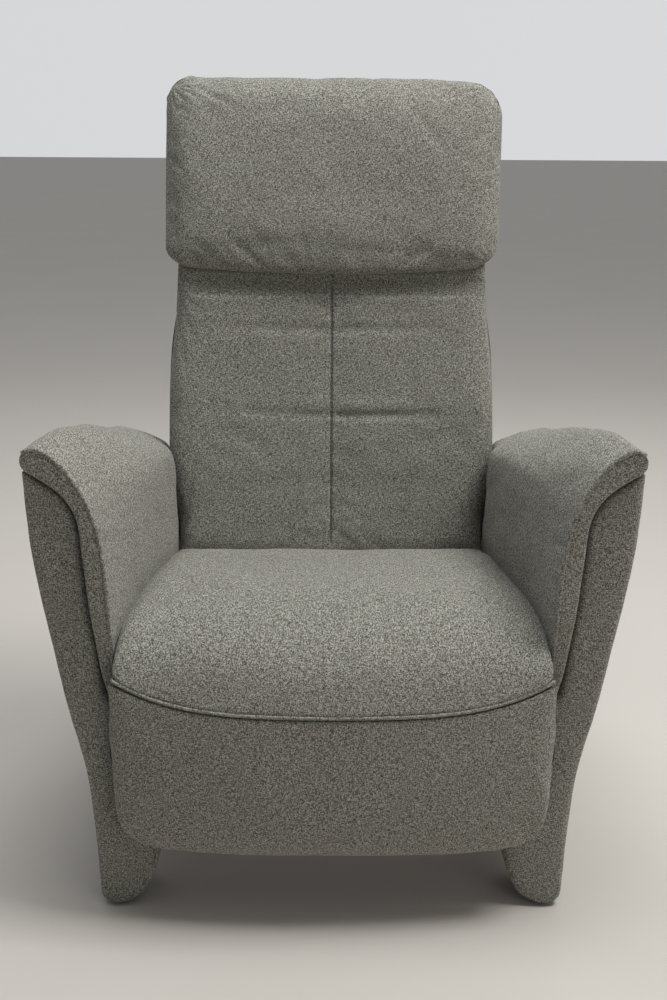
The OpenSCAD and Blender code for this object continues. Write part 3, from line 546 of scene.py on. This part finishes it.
# ------------------------------------------------------------ cushions lofted across the chair
def xloft(name, prof, spine, hw, r_x, r_in, xs_mid, mat, n_end=9, wfun=None, post=None):
    """prof(xn, x) -> closed (N, 2) loop; ends round off towards the spine segment."""
    cols = [(-1, ph) for ph in np.linspace(math.pi/2, 0, n_end)[:-1]] + [(x, None) for x in xs_mid] + [(1, ph) for ph in np.linspace(0, math.pi/2, n_end)[1:]]
    rings = []
    a, b = np.array(spine[0], float), np.array(spine[1], float); ab = b - a
    for c, ph in cols:
        if ph is None: x, k = c, 0.0
        else: x, k = c * (hw - r_x * (1 - math.sin(ph))), (1 - math.cos(ph))
        L = prof(abs(x) / hw, x)
        if k > 0:
            t = np.clip(((L - a) @ ab) / (ab @ ab), 0, 1); s = a + t[:, None] * ab
            v = s - L; n = np.linalg.norm(v, axis=1)[:, None] + 1e-9
            mv = v / n * np.array(r_in) * k
            f = np.minimum(1, 0.96 * n / (np.linalg.norm(mv, axis=1)[:, None] + 1e-9))
            L = L + mv * f
        xx = np.full(len(L), x)
        if wfun is not None: xx = x * wfun(L) / hw
        rings.append(np.stack([xx, L[:, 0], L[:, 1]], 1))
    ends = []
    for R in (rings[0], rings[-1]):
        c2 = R.copy(); L = R[:, 1:]
        t = np.clip(((L - a) @ ab) / (ab @ ab), 0, 1); c2[:, 1:] = a + t[:, None] * ab; c2[:, 0] = R[:, 0]
        ends.append(R * 0.45 + c2 * 0.55); ends.append(c2)
    rings = [ends[1], ends[0]] + rings + [ends[2], ends[3]]
    V = np.vstack(rings); n = len(rings[0])
    if post is not None: V = post(V)
    return mesh(name, V, ring_faces(len(rings), n), mat)


def paired(Cc, Ce, step):
    """Two closed outlines with matching control points, sampled alike span by span."""
    c, e = np.asarray(Cc, float), np.asarray(Ce, float); n = len(c); oc, oe = [], []

    def span(p, k, t):
        a, b, c_, d = p[(k-1) % n], p[k], p[(k+1) % n], p[(k+2) % n]
        l1, l2, l3 = [np.linalg.norm(v)**.5 + 1e-6 for v in (b - a, c_ - b, d - c_)]
        m1 = (c_ - b) + l2 * ((b - a)/l1 - (c_ - a)/(l1 + l2)); m2 = (c_ - b) + l2 * ((d - c_)/l3 - (d - b)/(l2 + l3))
        return (2*t**3 - 3*t**2 + 1)*b + (t**3 - 2*t**2 + t)*m1 + (-2*t**3 + 3*t**2)*c_ + (t**3 - t**2)*m2
    for k in range(n):
        L = max(np.linalg.norm(c[(k+1) % n] - c[k]), np.linalg.norm(e[(k+1) % n] - e[k]))
        t = np.linspace(0, 1, max(1, int(round(L / step))), endpoint=False)[:, None]
        oc.append(span(c, k, t)); oe.append(span(e, k, t))
    return np.vstack(oc), np.vstack(oe)


def mixprof(Cc, Ce, step, wz, wy):
    """Closed profiles at the middle and the ends, mixed."""
    c, e = paired(Cc, Ce, step)
    def f(xn, x):
        out = np.empty_like(c)
        out[:, 0] = c[:, 0] + (e[:, 0] - c[:, 0]) * wy(xn)
        out[:, 1] = c[:, 1] + (e[:, 1] - c[:, 1]) * wz(xn)
        return out
    return f


def seam_z(x): return 309 + 39 * np.abs(x / 291.0) ** 4
def seam_y(x): return -433 + 33 * (x / 291.0) ** 2


# seat cushion cover
Cs = [(96,326),(97.5,360),(96,386),(84,397),(50,405),(0,412),(-60,418),(-130,424),(-200,428),(-255,429),(-300,426),(-338,418),(-368,406),(-392,389),(-409,367),(-421,343),(-429,322),(-432.5,311.5),(-428,306),(-408,307),(-380,313),(-340,319),(-290,322),(-180,322),(-60,322),(30,322)]
Ce = [(96,328),(97.5,352),(96,380),(84,392),(50,399),(0,406),(-60,411),(-130,415),(-200,417),(-250,416),(-290,412.5),(-322,406.5),(-348,398.5),(-367,389.5),(-382,379),(-392,368.5),(-399,358),(-401.5,351),(-396,346.5),(-386,343),(-372,338),(-340,330),(-290,324),(-180,322),(-60,322),(30,322)]
seat_prof = mixprof(Cs, Ce, 5.2, lambda t: t**4, lambda t: t**2)
xmid = np.linspace(-276, 276, 80)
def seat_w(L):
    y = L[:, 0]
    return np.where(y < -384, 290.5, 245.0 + (96 - y) * 45.5 / 480)
seat = xloft("seat_cushion_cover", seat_prof, ((-372, 368), (70, 358)), 290.5, 13, (12, 11), xmid, FAB, n_end=10, wfun=seat_w)
P = coords(seat)
bottom = np.clip((338 - P[:, 2]) / 12, 0, 1) * (P[:, 1] > -415)
sz = seam_z(P[:, 0]); seamd = np.abs(P[:, 2] - sz)
pin = np.maximum(bottom, np.where(P[:, 1] < -385, np.clip(1 - (P[:, 2] - sz - 2) / 10, 0, 1), 0))
pin = np.maximum(pin, np.where(P[:, 1] > 90, 1, 0)); pin = np.maximum(pin, np.where(np.abs(P[:, 0]) > seat_w(np.stack([P[:, 1], P[:, 2]], 1)) - 1.5, 1, 0))
B0 = coords(seat)
cloth(seat, pin, pressure=2.6, shrink=0.0, cap=6)
P = coords(seat)
k = np.maximum(sstep((B0[:, 1] + 400) / 120), sstep((B0[:, 2] - sz) / 110))
set_coords(seat, B0 + (P - B0) * k[:, None])
P = coords(seat); N = normals(seat)
up = np.clip(N[:, 2], 0, 1)
fronty = np.clip(-N[:, 1], 0, 1)
sag = -7.0 * np.exp(-((P[:, 0] / 190) ** 2) - ((P[:, 1] + 60) / 170) ** 2) * up
soft = 1.3 * wob(P, 170, 11) + 0.5 * wob(P, 60, 12)
# long shallow creases towards the front corners, and short ones over the seam
cre = np.zeros(len(P))
for (x0, y0, ang, L, wd, am) in ((-205, -300, 35, 90, 9, -1.6), (215, -290, -38, 95, 9, -1.7), (-230, -120, 70, 80, 10, -1.2), (228, -90, -68, 80, 10, -1.2), (-120, 40, 5, 90, 9, -1.4), (110, 48, -6, 110, 9, -1.5), (30, -380, 2, 120, 12, -0.8)):
    a = math.radians(ang); dx, dy = P[:, 0] - x0, P[:, 1] - y0
    u, v = dx*math.cos(a) + dy*math.sin(a), -dx*math.sin(a) + dy*math.cos(a)
    cre += am * np.exp(-(u/L)**2 - (v/wd)**2)
sd = np.clip(P[:, 2] - seam_z(P[:, 0]), 0, None)
puck = 0.55 * np.sin(P[:, 0] / 5.3 + 1.2 * np.sin(P[:, 0] / 31)) * np.exp(-(sd / 16) ** 2) * fronty
push(seat, sag + soft * np.clip(up + fronty, 0, 1) + cre * up + puck)
subdiv(seat, 1)

# leg rest cover
def leg_bot(x): return lk(np.abs(x), [0, 150, 225, 258, 276, 287, 293, 296], [97, 98.5, 102, 109, 119, 134, 160, 200])
Cl = [(-431.5,306.5),(-434,296),(-434.5,262),(-434,225),(-433,185),(-430,150),(-425,126),(-416,112),(-404,107),(-392,106),(-378,107.5),(-368,113),(-363.5,126),(-362.5,160),(-362.5,220),(-362.5,270),(-364,296),(-372,303),(-388,302),(-404,299),(-420,299)]
Ce2 = [(-399.5,346.5),(-402,336),(-401.5,300),(-401,255),(-400,200),(-398,160),(-395,132),(-391,116),(-386,109),(-381,106.5),(-375,107.5),(-369,112),(-365,124),(-363.5,160),(-363,220),(-363,270),(-364,300),(-368,318),(-376,330),(-385,337),(-392,341)]
assert len(Cl) == len(Ce2)
lc, le = paired(Cl, Ce2, 5.5)
def leg_prof(xn, x):
    out = np.empty_like(lc)
    out[:, 0] = lc[:, 0] + (le[:, 0] - lc[:, 0]) * xn**2
    z = lc[:, 1] + (le[:, 1] - lc[:, 1]) * min(1, xn)**4
    zb = float(leg_bot(x)); k = z < 290
    z = np.where(k, zb + (z - 106) * (290 - zb) / (290 - 106), z)
    out[:, 1] = z
    return out
xl = np.r_[np.linspace(-281, -215, 18), np.linspace(-208, 208, 54), np.linspace(215, 281, 18)]
leg = xloft("leg_rest_cover", leg_prof, ((-384, 215), (-384, 300)), 295.5, 15, (13, 7), xl, FAB, n_end=7)
P = coords(leg); sz = seam_z(P[:, 0])
pin = np.clip((P[:, 2] - sz + 16) / 12, 0, 1); pin = np.maximum(pin, np.where(P[:, 1] > -372, 1, 0))
B0 = coords(leg)
cloth(leg, pin, pressure=1.8, shrink=0.0, cap=5)
P = coords(leg)
set_coords(leg, B0 + (P - B0) * sstep((sz - B0[:, 2]) / 70)[:, None])
P = coords(leg); N = normals(leg); fr = np.clip(-N[:, 1], 0, 1)
soft = 0.9 * wob(P, 210, 21) + 0.35 * wob(P, 70, 22)
sd = np.clip(seam_z(P[:, 0]) - P[:, 2], 0, None)
puck = 0.5 * np.sin(P[:, 0] / 5.6 + 1.4 * np.sin(P[:, 0] / 29 + 1)) * np.exp(-(sd / 15) ** 2) * fr
corner = -1.2 * np.exp(-((np.abs(P[:, 0]) - 262) / 16) ** 2 - ((P[:, 2] - 190) / 70) ** 2) * fr
push(leg, soft * fr + puck + corner)
subdiv(leg, 1)
# relief in the pad's back, which the drive links pass into when the leg rest is up
P = coords(leg); gap = 13 - np.abs(np.abs(P[:, 0]) - 166)
P[:, 1] -= 17 * np.clip((P[:, 1] + 392) / 22, 0, 1) * sstep(gap / 6) * sstep((P[:, 2] - 226) / 14) * sstep((308 - P[:, 2]) / 12)
set_coords(leg, P)

# piping along the seam between them
xp = np.linspace(-289.5, 289.5, 170)
sp = np.stack([xp, seam_y(xp) + 0.5, seam_z(xp) + 0.3], 1)
tail = lambda s: [[s*291, -392, 346], [s*290.5, -397, 348]]
sp = np.vstack([np.array(tail(-1)), sp, np.array(tail(1))[::-1]])
pipe = tube("leg_rest_piping", curve_pts(sp, 240), 2.5, PIPE, k=10)

for o in (seat, leg, pipe):
    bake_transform(o)
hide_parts("seat_cushion", "seat_front_roll")
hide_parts("leg_rest_pad")


# ------------------------------------------------------------ back: cushions in the back's own plane
def on_back(V):
    d, h = V[:, 1].copy(), V[:, 2].copy()
    V = V.copy(); V[:, 1] = F0[0] + d*CB + h*SB; V[:, 2] = F0[1] - d*SB + h*CB
    return V
def to_back(P):
    y, z = P[:, 1] - F0[0], P[:, 2] - F0[1]
    return y*CB - z*SB, y*SB + z*CB
bl = lambda p: ((p[0]-F0[0])*CB - (p[1]-F0[1])*SB, (p[0]-F0[0])*SB + (p[1]-F0[1])*CB)
Pb, Qb = bl((175, 365)), bl((253, 808))
roll = [(Pb[0] + 74.5*math.cos(math.radians(a)), Pb[1] + 74.5*math.sin(math.radians(a))) for a in (256, 242, 228, 214, 200, 188)]
toproll = [(Qb[0] + 46*math.cos(math.radians(a)), Qb[1] + 46*math.sin(math.radians(a))) for a in (174, 160, 147, 136)]
Bp = roll + [(0.5, 22), (-1.5, 90), (-3, 170), (-3.5, 250), (-3, 330), (-3, 390), (-5, 415)] + toproll + [(10, 466), (19, 446), (21, 425), (30, 406), (58, 404), (59, 380), (59, 250), (59, 100), (59, -20), (58.5, -60)]
bprof = curve_pts(Bp, 210, True)
bedge = spline([-100, 40, 62, 100, 150, 250, 350, 420, 480], [245, 245, 248.5, 255.5, 259, 259, 255, 250, 247])
back = xloft("back_cushion_cover", lambda xn, x: bprof.copy(), ((34, 10), (34, 380)), 259, 22, (20, 4), np.r_[np.linspace(-235, -10, 36), [-6.5, -4, -2.4, -1.2, 0, 1.2, 2.4, 4, 6.5], np.linspace(10, 235, 36)], FAB, n_end=11, wfun=lambda L: bedge(L[:, 1]), post=on_back)
P = coords(back); d, h = to_back(P)
pin = np.maximum(np.where(d > 52, 1, 0), np.where(h < -12, 1, 0)); pin = np.maximum(pin, np.where(h > 425, 1, 0))
pin = np.maximum(pin, np.clip(1 - np.abs(P[:, 0]) / 7, 0, 1) * (d < 10) * 0.85)
cloth(back, pin, pressure=2.2, shrink=-0.004, cap=6)
subdiv(back, 1)
P = coords(back); N = normals(back); d, h = to_back(P)
fr = np.clip(-N[:, 1] * 1.3, 0, 1) * np.clip((h + 5) / 25, 0, 1)
xx = np.abs(P[:, 0])
groove = -3.6 * np.exp(-(xx / 1.5) ** 2) + 0.7 * np.exp(-((xx - 6) / 4) ** 2)
def crease(h0, am, wd, x0, wx, slope=0.0, curve=0.0):
    return am * np.exp(-((h - h0 - slope * P[:, 0] - curve * (P[:, 0] / 100) ** 2) / wd) ** 2) * np.exp(-((P[:, 0] - x0) / wx) ** 2)
cr = (crease(209, -3.2, 7, 70, 95, 0.012) + crease(212, -1.8, 9, -70, 90, -0.02) + 1.5*crease(224, 1.1, 12, 60, 130)
      + crease(348, -2.4, 9, 40, 130, 0.01) + crease(350, -1.8, 10, -100, 90, -0.01) + crease(92, -0.7, 16, -60, 110, -0.03) + crease(98, -0.6, 16, 90, 110, 0.03)
      + crease(120, -1.0, 14, 150, 60, 0.3) + crease(130, -1.0, 14, -150, 60, -0.3))
# short puckers either side of the centre seam
pk = 0.6 * np.sin(h / 6.1 + 1.1 * np.sin(h / 37)) * np.exp(-((xx - 8) / 9) ** 2)
soft = 1.2 * wob(P, 150, 31) + 0.45 * wob(P, 50, 32)
push(back, fr * (groove + cr + pk + soft))
# pressed in under the headrest's lower edge, which rolls over it as the headrest tilts
P = coords(back); d, h = to_back(P)
lim = np.interp(h, [376, 390, 398, 405, 428, 434], [-28, -15, -9, -4.0, -4.0, -7])
k = (d < 15) & (h > 376) & (h < 434)
P2 = on_back(np.stack([P[:, 0], np.where(k, np.maximum(d, lim), d), h], 1))
set_coords(back, P2)
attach(back, "backrest"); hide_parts("back_cushion")

# centre seam stitches
P = coords(back); d, h = to_back(P); near = (np.abs(P[:, 0]) < 2.5) & (N[:, 1] < -0.3)
hs, ds = h[near], d[near]; o_ = np.argsort(hs); fz = lambda q: np.interp(q, hs[o_], ds[o_])
SV, SF = [], []
for q in np.arange(6, 420, 7.0):
    for k in range(2):
        hh = q + (0 if k == 0 else 4.6); dd = float(fz(hh)) - 0.35
        for sx, sd_ in ((-0.8, 0.2), (0.8, 0.2), (0.8, -0.7), (-0.8, -0.7)):
            SV.append([sx, dd + sd_, hh])
    b0 = len(SV) - 8
    SF += [(b0, b0+1, b0+5, b0+4), (b0+1, b0+2, b0+6, b0+5), (b0+2, b0+3, b0+7, b0+6), (b0+3, b0, b0+4, b0+7), (b0, b0+3, b0+2, b0+1), (b0+4, b0+5, b0+6, b0+7)]
st = mesh("back_seam_stitches", on_back(np.array(SV)), SF, THREAD)
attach(st, "backrest")

# rear cover
Rp = [(60.5, 29), (75, 28), (92, 31), (108, 42), (115, 60), (117.5, 120), (118.5, 250), (118, 380), (115.5, 430), (108, 455), (95, 470), (78, 474), (60.5, 474), (60.3, 440), (60.3, 250), (60.3, 60)]
rprof = curve_pts(Rp, 150, True)
redge = spline([20, 55, 95, 160, 250, 350, 410, 440, 466, 476], [242, 242.5, 252, 256, 256, 251, 247, 245, 237, 225])
rear = xloft("back_rear_cover_skin", lambda xn, x: rprof.copy(), ((76, 60), (76, 445)), 257, 30, (22, 14), np.linspace(-225, 225, 46), FAB, n_end=11, wfun=lambda L: redge(L[:, 1]), post=on_back)
push(rear, 0.8 * wob(coords(rear), 180, 41) - 0.3)
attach(rear, "backrest"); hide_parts("back_rear_cover")
# welt where rear cover and cushion meet
for sgn, nm in ((1, "left"), (-1, "right")):
    hh = np.linspace(34, 452, 90); ww = redge(hh) + 0.5
    p = on_back(np.stack([sgn*ww, 60 + 0*hh, hh], 1))
    o = tube("back_welt_" + nm, p, 2.0, PIPE, k=8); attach(o, "backrest")

# ------------------------------------------------------------ headrest
HT, HB = 763.0, 431.0
cut = [(Qb[0] + 49*math.cos(math.radians(a)), Qb[1] + 49*math.sin(math.radians(a))) for a in (172, 150, 130, 110, 92, 76)]
Hp = [(-16, 433), (-24, 434), (-31, 441), (-35.5, 456), (-38, 480), (-40, 530), (-41, 590), (-40, 645), (-37, 690), (-30, 727), (-18, 750), (-2, 761), (18, 764), (40, 761), (60, 750), (74, 728), (81, 695), (85.5, 650), (87, 600), (86.5, 550), (83, 510), (74, 491), (58, 487)] + cut[::-1][1:-1] + [(-14, 444)]
hprof = curve_pts(Hp, 220, True)
HW = 269.0
def head_prof(xn, x):
    L = hprof.copy()
    # the lower edge bows down in the middle and up to the corners
    lift = (3.5 + 15 * xn**2.2) * np.clip((HB + 60 - L[:, 1]) / 60, 0, 1)
    L[:, 1] += lift
    L[:, 1] -= (3.0 * xn**2 + (8.0 * xn**2.5 + 11.0 * float(sstep((x - 205) / 62)) if x > 0 else 0)) * np.clip((L[:, 1] - 690) / 60, 0, 1)
    L[:, 0] += 7 * xn**3 * (L[:, 0] < 0)
    return L
head = xloft("headrest_cover", head_prof, ((26, 505), (26, 705)), HW, 44, (34, 42), np.linspace(-225, 225, 66), FAB, n_end=14, post=on_back)
P = coords(head); d, h = to_back(P)
pin = np.maximum(np.where(h < HB + 14, 0.9, 0), np.where((np.hypot(d - Qb[0], h - Qb[1]) < 51.5), 1, 0))
pin = np.maximum(pin, np.where(np.abs(np.abs(P[:, 0]) - HW) < 1.5, 0.8, 0))
cloth(head, pin, pressure=2.6, shrink=-0.012, cap=8)
subdiv(head, 1)
P = coords(head); d, h = to_back(P)
P[:, 0] += 7 * sstep((P[:, 0] - 190) / 70) * np.interp(h, [440, 500, 600, 690, 764], [-1, 0.1, 0.5, 1, 1])
set_coords(head, P)
P = coords(head); N = normals(head); d, h = to_back(P); xx = np.abs(P[:, 0])
fr = np.clip(-N[:, 1] * 1.4 + 0.1, 0, 1)
soft = 1.3 * wob(P, 160, 51) + 0.5 * wob(P, 55, 52)
# gathers fanning out of each top corner, and weaker ones low down
cx, ch = xx - 262, h - 742
r_, th = np.hypot(cx, ch), np.arctan2(-cx, -ch)
gat = (np.sin(th * 17 + 1.5*np.sin(th * 5 + (P[:, 0] > 0))) * 2.1) * np.exp(-((r_ - 20) / 26) ** 2) * np.clip(r_ / 12, 0, 1)
c2, h2 = xx - 258, h - 452
r2, t2 = np.hypot(c2, h2), np.arctan2(-c2, h2)
gat2 = np.sin(t2 * 12 + 0.7) * 1.2 * np.exp(-((r2 - 16) / 20) ** 2)
ph = 0
for (x0, h0, ang, L_, wd, am) in ((-150, 640, 62, 70, 10, -1.5), (160, 655, -58, 80, 10, -1.6), (-60, 700, 8, 120, 12, -1.1), (70, 470, -3, 140, 10, -1.3), (-110, 480, 5, 110, 10, -1.2), (0, 560, 3, 170, 20, -0.9)):
    a = math.radians(ang); dx, dh = P[:, 0] - x0, h - h0
    u, v = dx*math.cos(a) + dh*math.sin(a), -dx*math.sin(a) + dh*math.cos(a)
    ph = ph + am * np.exp(-(u/L_)**2 - (v/wd)**2)
gat = np.minimum(gat * 0.85, 0.35); gat2 = np.minimum(gat2, 0.4)
keep = np.clip((np.hypot(d - Qb[0], h - Qb[1]) - 50) / 8, 0, 1)
push(head, keep * (soft * np.clip(fr + np.clip(N[:, 2], 0, 1), 0, 1) + (gat + gat2) * np.clip(fr + .4, 0, 1) + ph * fr))
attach(head, "headrest"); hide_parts("headrest_pad")

# ------------------------------------------------------------ floor, light, camera
fl, nt, b = nodes_of("floor"); g = G(nt); tc = nt.nodes.new("ShaderNodeTexCoord")
g.set(b.inputs["Base Color"], g.mix(g.noise(tc.outputs["Object"], 2.0, 3.0), (0.54, 0.51, 0.47, 1), (0.58, 0.55, 0.51, 1)))
b.inputs["Roughness"].default_value = 0.8
bpy.ops.mesh.primitive_plane_add(size=60, location=(0, 0.0, -0.0005)); floor = bpy.context.object; floor.name = "floor"
floor.data.materials.append(fl)
world = bpy.data.worlds.new("w"); bpy.context.scene.world = world; world.use_nodes = True
wn = world.node_tree; gw = G(wn); bgn = wn.nodes["Background"]
wt = wn.nodes.new("ShaderNodeTexCoord"); wsp = wn.nodes.new("ShaderNodeSeparateXYZ"); wn.links.new(wt.outputs["Generated"], wsp.inputs[0])
back_glow = gw.ramp(gw.math("ADD", gw.math("MULTIPLY", wsp.outputs[1], 0.5), 0.5), [(0.62, (0.0,)), (0.92, (1.0,))])
above = gw.ramp(wsp.outputs[2], [(0.25, (0.0,)), (0.95, (1.0,))])
right = gw.math("ADD", gw.math("MULTIPLY", wsp.outputs[0], 0.35), 0.8)
bgn.inputs[0].default_value = (0.97, 0.98, 1.0, 1)
gw.set(bgn.inputs[1], gw.math("ADD", gw.math("ADD", gw.math("MULTIPLY", right, 0.10), gw.math("MULTIPLY", back_glow, 0.62)), gw.math("MULTIPLY", above, 0.30)))


def area(name, loc, look, size, power, col=(1, 1, 1)):
    li = bpy.data.lights.new(name, "AREA"); li.shape = "RECTANGLE"; li.size, li.size_y = size; li.energy = power; li.color = col
    o = bpy.data.objects.new(name, li); bpy.context.scene.collection.objects.link(o); o.location = loc
    o.rotation_euler = (Vector(look) - Vector(loc)).to_track_quat("-Z", "Y").to_euler()
area("key", (1.9, -0.55, 4.0), (0, -0.1, 0.5), (1.6, 1.6), 112, (1, 0.985, 0.955))
area("top", (-0.2, 0.0, 4.0), (0, -0.1, 0.4), (2.0, 1.8), 52, (0.98, 0.99, 1))
area("front", (1.9, -3.4, 1.3), (0, 0, 0.6), (1.6, 1.2), 11, (1, 0.96, 0.90))
area("rim", (0.4, 2.8, 2.3), (0, 0.2, 0.8), (1.8, 1.4), 12, (1, 1, 1))

cam = bpy.data.cameras.new("cam"); cam.lens = 57.2; cam.sensor_width = 36
co = bpy.data.objects.new("cam", cam); bpy.context.scene.collection.objects.link(co)
yaw, pit, rol = math.radians(-0.58), math.radians(14.04), math.radians(0.38)
fwd = Vector((-math.sin(yaw)*math.cos(pit), math.cos(yaw)*math.cos(pit), -math.sin(pit)))
rt0 = Vector((math.cos(yaw), math.sin(yaw), 0)); up0 = rt0.cross(fwd)
rt = rt0*math.cos(rol) + up0*math.sin(rol); up = up0*math.cos(rol) - rt0*math.sin(rol)
M = Matrix((rt, up, -fwd)).transposed().to_4x4(); M.translation = Vector((-0.021, -2.364 + Y0/1000, 1.085))
co.matrix_world = M
bpy.context.scene.camera = co
sc = bpy.context.scene; sc.view_settings.view_transform = "Standard"
